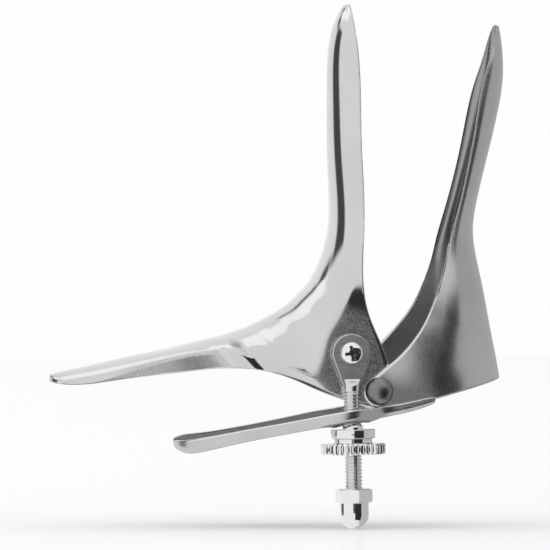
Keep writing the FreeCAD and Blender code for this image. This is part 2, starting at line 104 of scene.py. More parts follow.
LEVER_END_X = -57.4
LEVER_ROOT_X = 1.5
LEVER_ARM_END_X = 16.2
EAR_BULGE_OUT = 27.9
LEVER_BEND = 1.9
BEND_SHARE = 0.6               # a low flange's bend, as a share of its height
INNER_BEND_MIN = 0.25
FORK_CENTRE_X = 4.0
FORK_DEPTH = 16.0
SLOT_HALF_WIDTH = 3.15
SLOT_LEFT = 1.9
SLOT_RIGHT = 1.3
DISH_LONG_R = 8.3
DISH_WIDE_R = 4.3
DISH_DEPTH = 1.1

LEVER_UNDER_Z = -7.25
LEVER_SLOPE = 0.19

# Screw group, built upright and then leaned about the eye's centre as in the CAD model
EYE_X = node_middle("eye_screw")[0]
EYE_Z = node_middle("eye_screw")[2]
ROD_Y = node_middle("eye_rod")[1]
ROD_LEAN = 1.0                 # degrees, with the foot towards +X
EYE_R = 5.5
EYE_THICK = 2.2
EYE_NECK = 9.6
EYE_HOLE_R = 2.25
NECK_TAPER_H = 2.4
ROD_R = 2.5
ROD_BOTTOM_Z = -36.0
BORE_R = 2.56
PITCH = 1.0
THREAD_DEPTH = 0.34
WASHER_TOP_Z = -10.8
WASHER_R = 6.4
WASHER_H = 2.6
HUB_R = 3.0
HUB_H = 1.2
NUT_GAP = 0.05
COLLAR_R = 5.55
COLLAR_H = 1.4
KNURL_R = 9.3
KNURL_H = 3.1
KNURL_TEETH = 36
KNURL_DEPTH = 0.6
KNURL_GROOVE = 0.62
CAP_TOP_Z = -27.8
CAP_FLATS = 9.5
CAP_HEX_H = 4.0
CAP_TURN = 11.0
CAP_DOME_R = 4.15
CAP_DOME_H = 7.5

RIM_ROUND = 0.4                # how far a sheet's rounded edge is drawn back
EDGE_SAMPLES = 6
UPPER_SECTIONS = 360
LOWER_SECTIONS = 260
LEVER_SECTIONS = 200
CUTTER_BOTTOM_Z = -30.0
CUTTER_TOP_Z = 10.0
END_CLOSING = 0.02             # share of the sheet left where its rounded end closes

# Steps of a section's outline, 1 for a straight and 2 for a quarter, and the samples of each
ARCH_STEPS = (1, 2, 2, 1)
ARCH_SAMPLES = (8, 26, 26, 8)
CHANNEL_STEPS = (1, 2, 1, 2, 1)
CHANNEL_SAMPLES = (4, 8, 90, 8, 4)

# Unbuffed walls of the upper valve
RAW_FLAT = (4.5, 8.0)                      # flat walls turn from buffed to unbuffed between these heights
RAW_FLANK = (-78.0, -66.0, -41.6, -40.8)   # x where the handle's unbuffed flanks begin and end
RAW_REACH = 14                             # samples from the rim that the flanks' grain reaches

# Outward bulge of the lower valve's mouth walls: its height, middle and reach along x and z
FLARE = 1.0
FLARE_X = 12.0
FLARE_LONG = 15.0
FLARE_Z = 11.0
FLARE_TALL = 12.0


def along(start, end, share):
    return start + (end - start) * share


def upper_rows():
    """Cross-sections from the blade's tip round to the handle's end.

    Each row: rim x, rim z, ridge x, ridge z, half width, flat wall, extra length of the far wall.
    """
    blade = [
        # share of the way from root to tip, rim x, ridge x, ridge drop, share of half width
        (1.000, -6.5, -8.1, 0.2, 0.15),
        (0.952, -6.0, -10.4, 0.4, 0.48),
        (0.902, -5.5, -11.8, 0.4, 0.63),
        (0.800, -4.6, -12.8, 0.0, 0.72),
        (0.644, -4.2, -13.0, -0.2, 0.79),
        (0.487, -4.0, -12.9, -0.3, 0.85),
        (0.343, -3.5, -12.4, -0.5, 0.91),
        (0.199, -3.6, -12.8, -0.8, 1.00),
    ]
    rows = []
    for share, rim_x, ridge_x, drop, width in blade:
        z = along(UPPER_ROOT_Z, UPPER_TIP_Z, share)
        rows.append((rim_x, z, ridge_x, z - drop, width * UPPER_BLADE_HALF, FLAT_RIM, 0.0))
    rows.extend([
        (-4.1, 36.5, -15.2, 37.4, 17.4, 1.0, 0.0),
        (-3.9, 28.6, -18.2, 31.5, 19.2, 3.0, 0.0),
        (-2.3, 21.1, -20.9, 28.4, CHEEK_OUT, 7.5, 0.0),
        (1.0, 13.3, -23.5, 25.9, CHEEK_OUT, 14.0, 0.0),
        (3.9, 5.2, -25.8, 24.1, CHEEK_OUT, 20.5, 0.0),
        (4.6, -1.6, -27.8, 22.8, CHEEK_OUT, 24.0, 0.0),
        (0.5, -4.6, -29.6, 21.7, CHEEK_OUT, 21.0, 0.0),
        (-6.0, -3.4, -31.5, 20.7, CHEEK_OUT, 14.0, 0.0),
        (-13.0, -0.8, -33.6, 19.7, 19.75, 6.5, 0.0),
        (-20.0, 2.3, -36.4, 18.4, 19.4, 4.2, 0.0),
    ])
    handle = [
        # share of the way from root to end, rim z, ridge x minus rim x, ridge z,
        # share of half width, flat wall
        (0.000, 4.8, -12.2, 17.2, 1.040, 3.2),
        (0.066, 5.7, -10.3, 16.4, 0.968, 4.3),
        (0.130, 6.3, -8.7, 15.7, 0.966, 5.5),
        (0.198, 6.5, -7.4, 14.95, 0.815, 5.0),
        (0.266, 6.5, -6.2, 14.2, 0.765, 4.8),
        (0.418, 5.5, -4.1, 12.3, 0.745, 4.2),
        (0.571, 4.3, -2.6, 10.5, 0.705, 2.6),
        (0.723, 3.0, -1.6, 8.5, 0.650, 1.0),
        (0.860, 1.9, -1.1, 6.6, 0.580, FLAT_RIM),
        (0.943, 1.9, -0.6, 5.5, 0.455, FLAT_RIM),
        (1.000, 2.6, -0.3, 4.6, 0.150, FLAT_RIM),
    ]
    for share, rim_z, slant, ridge_z, width, flat in handle:
        x = along(HANDLE_ROOT_X, HANDLE_END_X, share)
        rows.append((x, rim_z, x + slant, ridge_z, width * HANDLE_HALF, flat, 0.0))
    return rows


def lower_rows():
    """Cross-sections of the lower valve, from the blade's tip down to the mouth's rim.

    The far wall runs on past the near one at the mouth, where the near one makes way for the eye.
    """
    blade = [
        # share of the way from root to tip, rim x, back x, back drop, share of half width, extra
        (1.000, 36.0, 37.3, 0.3, 0.14, 0.0),
        (0.942, 34.8, 38.0, 0.9, 0.44, 0.0),
        (0.872, 33.6, 38.4, 1.1, 0.60, 0.0),
        (0.786, 31.6, 38.2, 1.1, 0.69, 0.1),
        (0.679, 29.9, 36.9, 0.7, 0.76, 0.4),
        (0.553, 28.3, 34.8, 0.2, 0.81, 0.6),
        (0.426, 26.3, 32.5, -0.3, 0.86, 0.7),
        (0.306, 24.1, 30.5, -0.8, 0.92, 0.9),
        (0.200, 21.8, 29.5, -1.2, 1.00, 0.8),
        (0.093, 19.8, 30.4, -1.4, 1.11, 0.6),
    ]
    rows = []
    for share, rim_x, back_x, drop, width, extra in blade:
        z = along(LOWER_ROOT_Z, LOWER_TIP_Z, share)
        rows.append((rim_x, z, back_x, z - drop, width * LOWER_BLADE_HALF, FLAT_RIM, extra))
    rows.extend([
        (17.7, 30.7, 31.9, 32.0, 19.4, 2.0, 0.8),
        (15.3, 24.2, 33.1, 25.9, 20.7, 4.0, 1.6),
        (12.1, 17.9, 34.1, 20.5, PLATE_OUT, 6.5, 3.6),
        (8.4, 12.9, 34.9, 16.4, PLATE_OUT, 9.5, 4.8),
        (4.3, 8.7, 35.6, 13.0, PLATE_OUT, 13.0, 4.2),
        (-0.8, 4.5, 36.2, 10.2, PLATE_OUT, 17.0, 2.4),
        (-4.5, -0.1, 36.6, 7.9, PLATE_OUT, 20.0, 0.7),
        (-2.6, -3.9, 37.0, 5.8, PLATE_OUT, 18.0, 0.0),
        (3.0, -6.0, 37.3, 3.5, PLATE_OUT, 12.5, 0.0),
    ])
    return rows


def lever_rows():
    """Cross-sections of the lever, from its raked end to the ends of the arms.

    Each row: x, underside z, flange top z, near half width, far half width, extra far height.
    """
    tray = [
        # share of the way from root to end, underside, height, near and far half width, extra
        (1.000, -15.9, 1.6, 2.4, 2.4, 0.2),
        (0.982, -17.2, 2.9, 6.6, 6.6, 0.8),
        (0.935, -18.1, 4.1, 10.6, 10.5, 1.1),
        (0.860, -17.4, 4.2, 13.4, 13.0, 0.7),
        (0.705, -15.2, 3.8, 16.7, 16.0, 0.2),
        (0.535, -13.05, 3.6, 20.6, 18.7, 0.0),
        (0.365, -11.05, 3.6, 25.0, 20.6, 0.0),
        (0.246, -9.75, 3.7, EAR_BULGE_OUT - 0.3, 21.6, 0.0),
        (0.153, -8.8, 3.65, EAR_BULGE_OUT, 22.3, 0.0),
        (0.076, -8.1, 3.6, EAR_BULGE_OUT - 2.4, ARM_OUT, 0.0),
        (0.000, -7.5, 3.4, ARM_OUT + 0.4, ARM_OUT, 0.0),
    ]
    arms = [
        # share of the way from root to end, underside, height
        (0.33, -6.6, 3.1),
        (0.66, -5.3, 2.8),
        (0.88, -4.15, 2.3),
        (1.00, -3.3, 1.6),
    ]
    rows = []
    for share, under, height, near, far, extra in tray:
        x = along(LEVER_ROOT_X, LEVER_END_X, share)
        rows.append((x, under, under + height, near, far, extra))
    for share, under, height in arms:
        x = along(LEVER_ROOT_X, LEVER_ARM_END_X, share)
        rows.append((x, under, under + height, ARM_OUT, ARM_OUT, 0.0))
    return rows


def end_slope(places, values):
    """Slope at the first place of the cubic through the first four places."""
    t = places[:4] - places[0]
    powers = np.vander(t, 4, increasing=True)
    return np.linalg.solve(powers, values[:4])[1]


def fair(places, values, at):
    """Smooth curve (continuous curvature) through the values, read at other places."""
    count = len(places)
    step = np.diff(places)
    rise = np.diff(values, axis=0) / step[:, None]
    system = np.zeros((count, count))
    right = np.zeros_like(values)
    system[0, 0] = 1.0
    system[-1, -1] = 1.0
    right[0] = end_slope(places, values)
    right[-1] = -end_slope(-places[::-1], values[::-1])
    for i in range(1, count - 1):
        system[i, i - 1] = 1.0 / step[i - 1]
        system[i, i] = 2.0 / step[i - 1] + 2.0 / step[i]
        system[i, i + 1] = 1.0 / step[i]
        right[i] = 3.0 * (rise[i - 1] / step[i - 1] + rise[i] / step[i])
    slope = np.linalg.solve(system, right)
    cell = np.clip(np.searchsorted(places, at, side="right") - 1, 0, count - 2)
    h = step[cell][:, None]
    s = ((at - places[cell]) / step[cell])[:, None]
    low = values[cell] * (2 * s ** 3 - 3 * s ** 2 + 1) + slope[cell] * h * (s ** 3 - 2 * s ** 2 + s)
    high = values[cell + 1] * (3 * s ** 2 - 2 * s ** 3) + slope[cell + 1] * h * (s ** 3 - s ** 2)
    return low + high


def fair_sections(sections, count):
    """More sections, faired through the given ones; also their places for other columns."""
    sections = np.array(sections, float)
    gaps = np.linalg.norm(np.diff(sections, axis=0), axis=2).mean(axis=1)
    places = np.concatenate([[0.0], np.cumsum(gaps)])
    places /= places[-1]
    at = np.linspace(0.0, 1.0, count)
    flat = sections.reshape(len(sections), -1)
    return fair(places, flat, at).reshape(count, -1, 3), places, at


def quarter_points(start, corner, end, samples):
    """Quarter ellipse on three poles, for many sections at once, without its last point."""
    t = np.linspace(0.0, 1.0, samples + 1)[:-1]
    a = ((1 - t) ** 2)[None, :, None]
    b = (2 * t * (1 - t) * math.sqrt(0.5))[None, :, None]
    c = (t ** 2)[None, :, None]
    top = a * start[:, None] + b * corner[:, None] + c * end[:, None]
    return top / (a + b + c)


def line_points(start, end, samples):
    t = np.linspace(0.0, 1.0, samples + 1)[:-1][None, :, None]
    return start[:, None] * (1 - t) + end[:, None] * t


def open_outline(poles, steps, samples):
    """Points of an open section outline on its poles; steps are 1 (straight) or 2 (quarter)."""
    parts = []
    start = 0
    for degree, count in zip(steps, samples):
        if degree == 1:
            parts.append(line_points(poles[:, start], poles[:, start + 1], count))
        else:
            parts.append(quarter_points(poles[:, start], poles[:, start + 1], poles[:, start + 2], count))
        start += degree
    parts.append(poles[:, start:start + 1])
    return np.concatenate(parts, axis=1)


def round_edge(outer, inner, outer_next):
    """Half-round edge of a sheet between its outer and inner foot; draws the feet back too."""
    run = outer - outer_next
    run /= np.linalg.norm(run, axis=1)[:, None]
    centre = (outer + inner) / 2 - run * RIM_ROUND
    half = (outer - inner) / 2
    turn = np.linspace(0.0, math.pi, EDGE_SAMPLES + 1)[None, :, None]
    return centre[:, None] + half[:, None] * np.cos(turn) + (run * RIM_ROUND)[:, None] * np.sin(turn)


def mirror_pairs(around):
    """Pairs of ring points that face each other across the sheet, from edge to edge."""
    middle = around - EDGE_SAMPLES // 2
    return [((middle + k) % around, (middle - k) % around) for k in range(around // 2 + 1)]


def round_end(rings, last, before, samples=5):
    """Rings that close a sheet's cut end with a half round."""
    around = rings.shape[1]
    partner = np.zeros(around, int)
    for one, two in mirror_pairs(around):
        partner[one] = two
        partner[two] = one
    end = rings[last]
    run = end - rings[before]
    run /= np.linalg.norm(run, axis=1)[:, None]
    middle = (end + end[partner]) / 2
    half = (end - end[partner]) / 2
    turns = np.linspace(0.0, math.pi / 2, samples + 1)[1:-1]
    back = RIM_ROUND * run
    closing = [middle + half * math.cos(t) - back + back * math.sin(t) for t in turns]
    return closing + [middle + half * END_CLOSING]


def round_ends(rings):
    """Draws both cut ends back and rounds them."""
    first = round_end(rings, 0, 1)
    final = round_end(rings, -1, -2)
    run = rings[0] - rings[1]
    rings[0] -= RIM_ROUND * run / np.linalg.norm(run, axis=1)[:, None]
    run = rings[-1] - rings[-2]
    rings[-1] -= RIM_ROUND * run / np.linalg.norm(run, axis=1)[:, None]
    return np.concatenate([np.stack(first[::-1]), rings, np.stack(final)]), len(first)


def sheet_faces(rows, around):
    """Faces of a sheet grown from rings, with its ends closed from edge to edge."""
    faces = ring_faces(rows, around, closed_ends=False)
    pairs = mirror_pairs(around)
    for (a, b), (c, d) in zip(pairs, pairs[1:]):
        for start, turn in ((0, 1), ((rows - 1) * around, -1)):
            corners = []
            for index in (a, c, d, b):
                if start + index not in corners:
                    corners.append(start + index)
            faces.append(tuple(corners[::turn]))
    return faces


def sheet_rings(outside, inside, steps, samples):
    """Closed rings of points round a sheet's section, with both edges rounded."""
    outer = open_outline(outside, steps, samples)
    inner = open_outline(inside, steps, samples)
    near = round_edge(outer[:, 0], inner[:, 0], outer[:, 1])
    far = round_edge(outer[:, -1], inner[:, -1], outer[:, -2])
    rings = np.concatenate([
        near[:, :1], outer[:, 1:-1], far, inner[:, -2:0:-1], near[:, :0:-1],
    ], axis=1)
    return rings


def mesh_object(name, vertices, faces, smooth=True):
    mesh = bpy.data.meshes.new(name)
    mesh.from_pydata([tuple(v) for v in np.asarray(vertices) * MM], [], faces)
    mesh.validate()
    for polygon in mesh.polygons:
        polygon.use_smooth = smooth
    piece = bpy.data.objects.new(name, mesh)
    bpy.context.scene.collection.objects.link(piece)
    return piece


def ring_faces(rows, around, closed_ends=True):
    faces = []
    for i in range(rows - 1):
        for j in range(around):
            k = (j + 1) % around
            faces.append((i * around + j, i * around + k, (i + 1) * around + k, (i + 1) * around + j))
    if closed_ends:
        faces.append(tuple(reversed(range(around))))
        faces.append(tuple((rows - 1) * around + j for j in range(around)))
    return faces


def fix_normals(piece):
    """Turns all faces outwards."""
    work = bmesh.new()
    work.from_mesh(piece.data)
    bmesh.ops.recalc_face_normals(work, faces=work.faces)
    if work.calc_volume(signed=True) < 0:
        bmesh.ops.reverse_faces(work, faces=work.faces)
    work.to_mesh(piece.data)
    work.free()


def sharp_by_angle(piece, degrees):
    piece.data.set_sharp_from_angle(angle=math.radians(degrees))


def arch(rim, across, length, half, flat, extra):
    """Poles of a trough's outline, from the near rim over the ridge to the far rim."""
    def pole(reach, y):
        return (rim[0] + across[0] * reach, y, rim[1] + across[1] * reach)
    return [pole(0, -half), pole(flat, -half), pole(length, -half), pole(length, 0),
            pole(length, half), pole(flat, half), pole(-extra, half)]


def ring_mask(outer, edge, inner):
    """Values round a ring of sheet_rings: outer and inner are lists from the near edge on."""
    side = np.full(EDGE_SAMPLES, edge)
    return np.concatenate([[edge], outer[1:-1], side, [edge], inner[-2:0:-1], side])


def add_mask(piece, name, values):
    layer = piece.data.attributes.new(name, "FLOAT", "POINT")
    layer.data.foreach_set("value", np.ascontiguousarray(values, np.float32).reshape(-1))


def edge_and_inside(piece, rows, count):
    """Marks the sheet's rounded edges and its hollow side; count is the points of an outline."""
    sides = np.zeros(count)
    edge = ring_mask(sides, 1.0, sides)
    inside = ring_mask(sides, 0.3, np.ones(count))
    add_mask(piece, "edge", np.tile(edge, (rows, 1)))
    add_mask(piece, "inside", np.tile(inside, (rows, 1)))


def ramp(values, start, end):
    """0 before start, 1 after end, smooth between."""
    share = np.clip((values - start) / (end - start), 0.0, 1.0)
    return share * share * (3.0 - 2.0 * share)


def raw_walls(flats, rim_x):
    """How much of each ring's walls was left unbuffed: the wide flats and the handle's flanks."""
    wide = ramp(flats, RAW_FLAT[0], RAW_FLAT[1])
    flank = ramp(rim_x, RAW_FLANK[0], RAW_FLANK[1]) * (1.0 - ramp(rim_x, RAW_FLANK[2], RAW_FLANK[3]))
    return wide, flank * (flats < RAW_FLAT[1])


def mouth_flare(points):
    """Outward bulge of the mouth's side walls, clear of the lever's arms below."""
    along_x = (points[:, :, 0] - FLARE_X) / FLARE_LONG
    along_z = (points[:, :, 2] - FLARE_Z) / FLARE_TALL
    reach = along_x ** 2 + along_z ** 2
    side = points[:, :, 1] / (PLATE_OUT - SHEET / 2)
    return FLARE * side * np.clip(1.0 - reach, 0.0, 1.0) ** 2


def trough_piece(name, rows, count, raw=False, flare=False):
    """Pressed trough as a fine mesh, with masks for its edges, hollow side and unbuffed walls."""
    outside = []
    inside = []
    for rim_x, rim_z, ridge_x, ridge_z, half, flat, extra in rows:
        across = np.array([ridge_x - rim_x, ridge_z - rim_z])
        length = np.linalg.norm(across)
        across = across / length
        outside.append(arch((rim_x, rim_z), across, length, half, flat, extra))
        inside.append(arch((rim_x, rim_z), across, length - SHEET, half - SHEET, flat, extra))
    both, places, at = fair_sections(np.concatenate([outside, inside], axis=1), count)
    poles = both.shape[1] // 2
    rings = sheet_rings(both[:, :poles], both[:, poles:], ARCH_STEPS, ARCH_SAMPLES)
    rings, end_rings = round_ends(rings)
    if flare:
        rings[:, :, 1] += mouth_flare(rings)
    piece = mesh_object(name, rings.reshape(-1, 3), sheet_faces(len(rings), rings.shape[1]))
    outline = sum(ARCH_SAMPLES) + 1
    edge_and_inside(piece, len(rings), outline)
    if raw:
        given = np.array([[row[5], row[0]] for row in rows])
        flats, rim_x = np.pad(fair(places, given, at), ((end_rings, end_rings), (0, 0)), mode="edge").T
        wide, flank = raw_walls(flats, rim_x)
        steps = np.minimum(np.arange(outline), np.arange(outline)[::-1])
        wall = 1.0 - ramp(steps, ARCH_SAMPLES[0] - 1.0, ARCH_SAMPLES[0] + 3.0)
        low = 1.0 - ramp(steps, RAW_REACH - 3.0, RAW_REACH + 3.0)
        wall = ring_mask(wall, 1.0, wall)
        low = ring_mask(low, 1.0, low)
        add_mask(piece, "raw", np.maximum(wide[:, None] * wall, flank[:, None] * low))
    fix_normals(piece)
    return piece


def channel(x, under, top, near, far, bend, lift):
    """Poles of the lever's outline, from the near flange under the web to the far flange."""
    return [(x, -near, top), (x, -near, under + bend), (x, -near, under),
            (x, bend - near, under), (x, far - bend, under), (x, far, under),
            (x, far, under + bend), (x, far, top + lift)]


def seat_x():
    """Where the leaned rod meets the web's underside."""
    slant = math.tan(math.radians(ROD_LEAN))
    return (EYE_X + (EYE_Z - LEVER_UNDER_Z) * slant) / (1 + LEVER_SLOPE * slant)


def dish_drop(points):
    """How far the pressed seat lowers the web at each point."""
    reach = ((points[:, 0] - seat_x()) / DISH_LONG_R) ** 2 + ((points[:, 1] - ROD_Y) / DISH_WIDE_R) ** 2
    return DISH_DEPTH * np.clip(1.0 - reach, 0.0, 1.0)


def prism(name, outline, z_low, z_high):
    """Upright prism on a closed outline in x and y, used as a cutter."""
    count = len(outline)
    points = [(x, y, z_low) for x, y in outline] + [(x, y, z_high) for x, y in outline]
    faces = [tuple(reversed(range(count))), tuple(range(count, 2 * count))]
    for i in range(count):
        j = (i + 1) % count
        faces.append((i, j, count + j, count + i))
    cutter = mesh_object(name, points, faces, smooth=False)
    fix_normals(cutter)
    return cutter


def cut_away(piece, cutters):
    """Takes each cutter out of the piece and removes the cutter."""
    for cutter in cutters:
        cut = piece.modifiers.new("cut", "BOOLEAN")
        cut.operation = "DIFFERENCE"
        cut.solver = "MANIFOLD"
        cut.object = cutter
    graph = bpy.context.evaluated_depsgraph_get()
    mesh = bpy.data.meshes.new_from_object(piece.evaluated_get(graph))
    piece.modifiers.clear()
    piece.data = mesh
    for cutter in cutters:
        bpy.data.objects.remove(cutter)
    return piece


def lever_piece(name):
    """Lever as a fine mesh, with the dished seat pressed in and the throat and slot cut out."""
    outside = []
    inside = []
    for x, under, top, near, far, lift in lever_rows():
        bend = min(LEVER_BEND, BEND_SHARE * (top - under))
        outside.append(channel(x, under, top, near, far, bend, lift))
        inner_bend = max(bend - SHEET, INNER_BEND_MIN)
        inside.append(channel(x, under + SHEET, top, near - SHEET, far - SHEET, inner_bend, lift))
    both, _, _ = fair_sections(np.concatenate([outside, inside], axis=1), LEVER_SECTIONS)
    poles = both.shape[1] // 2
    rings = sheet_rings(both[:, :poles], both[:, poles:], CHANNEL_STEPS, CHANNEL_SAMPLES)
    rings, _ = round_ends(rings)
    points = rings.reshape(-1, 3)
    points[:, 2] -= dish_drop(points)
    piece = mesh_object(name, points, sheet_faces(len(rings), rings.shape[1]))
    edge_and_inside(piece, len(rings), sum(CHANNEL_SAMPLES) + 1)
    fix_normals(piece)
    half = PLATE_OUT + BRAZE_GAP
    turns = np.linspace(math.pi / 2, 3 * math.pi / 2, 73)
    throat = [(FORK_CENTRE_X + FORK_DEPTH * math.cos(t), half * math.sin(t)) for t in turns]
    throat += [(LEVER_ARM_END_X + 10, -half), (LEVER_ARM_END_X + 10, half)]
    slot = []
    for centre, start in ((SLOT_RIGHT, -90), (-SLOT_LEFT, 90)):
        for t in np.radians(np.linspace(start, start + 180, 25)):
            slot.append((seat_x() + centre + SLOT_HALF_WIDTH * math.cos(t),
                         ROD_Y + SLOT_HALF_WIDTH * math.sin(t)))
    cutters = [prism(part, outline, CUTTER_BOTTOM_Z, CUTTER_TOP_Z)
               for part, outline in (("throat", throat), ("slot", slot))]
    return cut_away(piece, cutters)


def arc_profile(points, radius, samples=4):
    """Profile of (r, h) points with every corner between its ends rounded."""
    rounded = [points[0]]
    for before, corner, after in zip(points, points[1:], points[2:]):
        before, corner, after = np.array(before), np.array(corner), np.array(after)
        one = before - corner
        two = after - corner
        reach = min(radius, 0.45 * np.linalg.norm(one), 0.45 * np.linalg.norm(two))
        a = corner + one / np.linalg.norm(one) * reach
        b = corner + two / np.linalg.norm(two) * reach
        for t in np.linspace(0, 1, samples + 1):
            rounded.append(tuple((1 - t) ** 2 * a + 2 * t * (1 - t) * corner + t ** 2 * b))
    rounded.append(points[-1])
    return rounded


def dome(radius, base, height, samples=14):
    """Quarter ellipse from (radius, base) to (0, base + height)."""
    turns = np.linspace(0, math.pi / 2, samples + 1)[1:]
    return [(radius * math.cos(t), base + height * math.sin(t)) for t in turns]


def turned(name, profile, segments=96, radius_at=None, closed=False):
    """Turned piece round +Z through the origin, from a profile of (r, h).

    radius_at(angles, r, h) may change the radius round the piece, as for flats and teeth.
    closed joins the profile's ends, for a piece with a bore.
    """
    angles = np.linspace(0, 2 * math.pi, segments, endpoint=False)
    rings = []
    for r, h in profile:
        radii = np.full(segments, max(r, 1e-4))
        if radius_at is not None:
            radii = radius_at(angles, radii, h)
        rings.append(np.stack([radii * np.cos(angles), radii * np.sin(angles), np.full(segments, h)], 1))
    points = np.concatenate(rings)
    faces = ring_faces(len(rings), segments, closed_ends=not closed)
    if closed:
        last = (len(rings) - 1) * segments
        for j in range(segments):
            k = (j + 1) % segments
            faces.append((last + j, last + k, k, j))
    piece = mesh_object(name, points, faces)
    fix_normals(piece)
    return piece


def place(piece, matrix):
    """Moves a piece's mesh, in millimetres, and leaves its object at the origin."""
    scaled = matrix.copy()
    scaled.translation = matrix.translation * MM
    piece.data.transform(scaled)
    piece.data.update()
    return piece


TO_NEAR = Matrix.Rotation(math.radians(90), 4, "X")    # +Z turns to -Y
TO_FAR = Matrix.Rotation(math.radians(-90), 4, "X")    # +Z turns to +Y


def moved(x, y, z):
    return Matrix.Translation(Vector((x, y, z)))


def direction(azimuth, elevation):
    """Unit vector towards a place seen from the object; azimuth 0 is -Y and 90 is +X."""
    a = math.radians(azimuth)
    e = math.radians(elevation)
    return Vector((math.sin(a) * math.cos(e), -math.cos(a) * math.cos(e), math.sin(e)))


def on_rod(piece):
    """Moves a piece's mesh from the Z axis onto the leaned rod."""
    tilt = Matrix.Rotation(math.radians(-ROD_LEAN), 4, "Y")
    return place(piece, moved(EYE_X, ROD_Y, EYE_Z) @ tilt @ moved(0, 0, -EYE_Z))


def rivet_piece(name, side):
    """Domed rivet, seen from its head: the shank and tail stay inside the sheets."""
    low, high = node_box(name)
    length = high[1] - low[1]
    head_h = 3.1
    head_r = (high[0] - low[0]) / 2
    tail_r = 3.2
    tail_h = 0.9
    tail_slope = 0.8
    shank_r = 2.0
    rim = 0.7
    under = length - head_h
    profile = [(0, 0), (tail_r - tail_slope, 0), (tail_r, tail_h), (shank_r, tail_h), (shank_r, under),
               (head_r - 0.15, under), (head_r, under + 0.15), (head_r, under + rim)]
    profile += dome(head_r, under + rim, head_h - rim, 20)
    piece = turned(name + "_look", profile, 96)
    sharp_by_angle(piece, 50)
    if side < 0:
        return place(piece, moved(0, high[1], 0) @ TO_NEAR)
    return place(piece, moved(0, low[1], 0) @ TO_FAR)


def cap_nut_piece():
    corner = CAP_FLATS / 2 / math.cos(math.pi / 6)
    face = CAP_FLATS / 2 * 0.97
    turn = math.radians(CAP_TURN)
    top = CAP_TOP_Z
    base = top - CAP_HEX_H
    drop = 0.45
    profile = [(ROD_R + 0.02, top - 0.6), (ROD_R + 0.3, top), (face, top)]
    profile += [(along(face, corner, s), top - drop * s) for s in (0.34, 0.67, 1.0)]
    profile += [(corner + 0.01, z) for z in np.linspace(top - drop, base + drop, 5)[1:]]
    profile += [(along(corner, face, s), base + drop * (1 - s)) for s in (0.34, 0.67, 1.0)]
    profile += [(CAP_DOME_R + 0.12, base), (CAP_DOME_R, base - 0.12)]
    round_z = base - (CAP_DOME_H - CAP_DOME_R)
    profile += [(CAP_DOME_R, z) for z in np.linspace(base - 0.4, round_z, 4)]
    turns = np.linspace(0, math.pi / 2, 20)[1:]
    profile += [(CAP_DOME_R * math.cos(t), round_z - CAP_DOME_R * math.sin(t)) for t in turns]

    def radius_at(angles, radii, h):
        if h < base + 1e-6:
            return radii
        inside = (angles - turn + math.pi / 6) % (math.pi / 3) - math.pi / 6
        hexagon = CAP_FLATS / 2 / np.cos(inside)
        return np.minimum(hexagon, radii)
    piece = turned("cap_nut_look", profile, 240, radius_at)
    sharp_by_angle(piece, 28)
    return on_rod(piece)


def knurled_nut_piece():
    top = WASHER_TOP_Z - WASHER_H - NUT_GAP
    disc_top = top - COLLAR_H
    base = disc_top - KNURL_H
    edge = 0.4
    profile = [(BORE_R, base + edge), (BORE_R + edge, base), (KNURL_R - edge, base), (KNURL_R, base + edge)]
    profile += [(KNURL_R, z) for z in np.linspace(base + edge, disc_top - edge, 4)[1:]]
    profile += [(KNURL_R - edge, disc_top), (COLLAR_R + 0.2, disc_top), (COLLAR_R, disc_top + 0.15),
                (COLLAR_R, top - 0.15), (COLLAR_R - 0.15, top), (BORE_R + edge, top), (BORE_R, top - edge)]

    def radius_at(angles, radii, h):
        if radii[0] < KNURL_R - edge - 1e-6:
            return radii
        wave = np.abs(((angles * KNURL_TEETH / (2 * math.pi)) % 1.0) - 0.5) * 2
        groove = np.clip((KNURL_GROOVE - wave) / KNURL_GROOVE, 0, 1) * KNURL_DEPTH
        return np.minimum(radii, KNURL_R - groove)
    piece = turned("knurled_nut_look", profile, KNURL_TEETH * 10, radius_at, closed=True)
    sharp_by_angle(piece, 30)
    return on_rod(piece)


def seat_washer_piece():
    top = WASHER_TOP_Z
    base = top - WASHER_H
    hub = [(math.sqrt(HUB_R ** 2 - h ** 2), top + h) for h in np.linspace(0, HUB_H, 7)]
    rounded = [(BORE_R, base), (WASHER_R, base), (WASHER_R, top), (HUB_R + 0.01, top)]
    profile = arc_profile(rounded, 0.28) + hub + [(BORE_R, top + HUB_H)]
    piece = turned("seat_washer_look", profile, 128, closed=True)
    sharp_by_angle(piece, 35)
    return on_rod(piece)


def screw_piece():
    """Pan head screw with a cross recess, built along -Y."""
    low, high = node_box("eye_screw")
    head_r = (high[0] - low[0]) / 2
    head_h = 1.9
    shank_r = 1.5
    rim = 0.9
    length = high[1] - low[1]
    under = length - head_h
    profile = [(0, 0), (shank_r, 0), (shank_r, under), (head_r - 0.1, under), (head_r, under + 0.1),
               (head_r, under + rim)]
    profile += dome(head_r, under + rim, head_h - rim, 14)
    piece = turned("eye_screw_look", profile, 96)
    reach = 2.1
    half = 0.46
    core_r = 1.15
    recess_turn = 12
    floor = length - 1.35
    cutters = []
    for turn in (recess_turn, recess_turn + 90):
        c, s = math.cos(math.radians(turn)), math.sin(math.radians(turn))
        outline = []
        for x, y in ((-reach, -half), (reach, -half), (reach, half), (-reach, half)):
            outline.append((x * c - y * s, x * s + y * c))
        cutters.append(prism("cross", outline, floor, length + 1))
    core = []
    for step in range(4):
        t = math.radians(recess_turn + 45 + 90 * step)
        core.append((core_r * math.cos(t), core_r * math.sin(t)))
    cutters.append(prism("core", core, floor - 0.15, length + 1))
    cut_away(piece, cutters)
    sharp_by_angle(piece, 30)
    return place(piece, moved(EYE_X, high[1], EYE_Z) @ TO_NEAR)


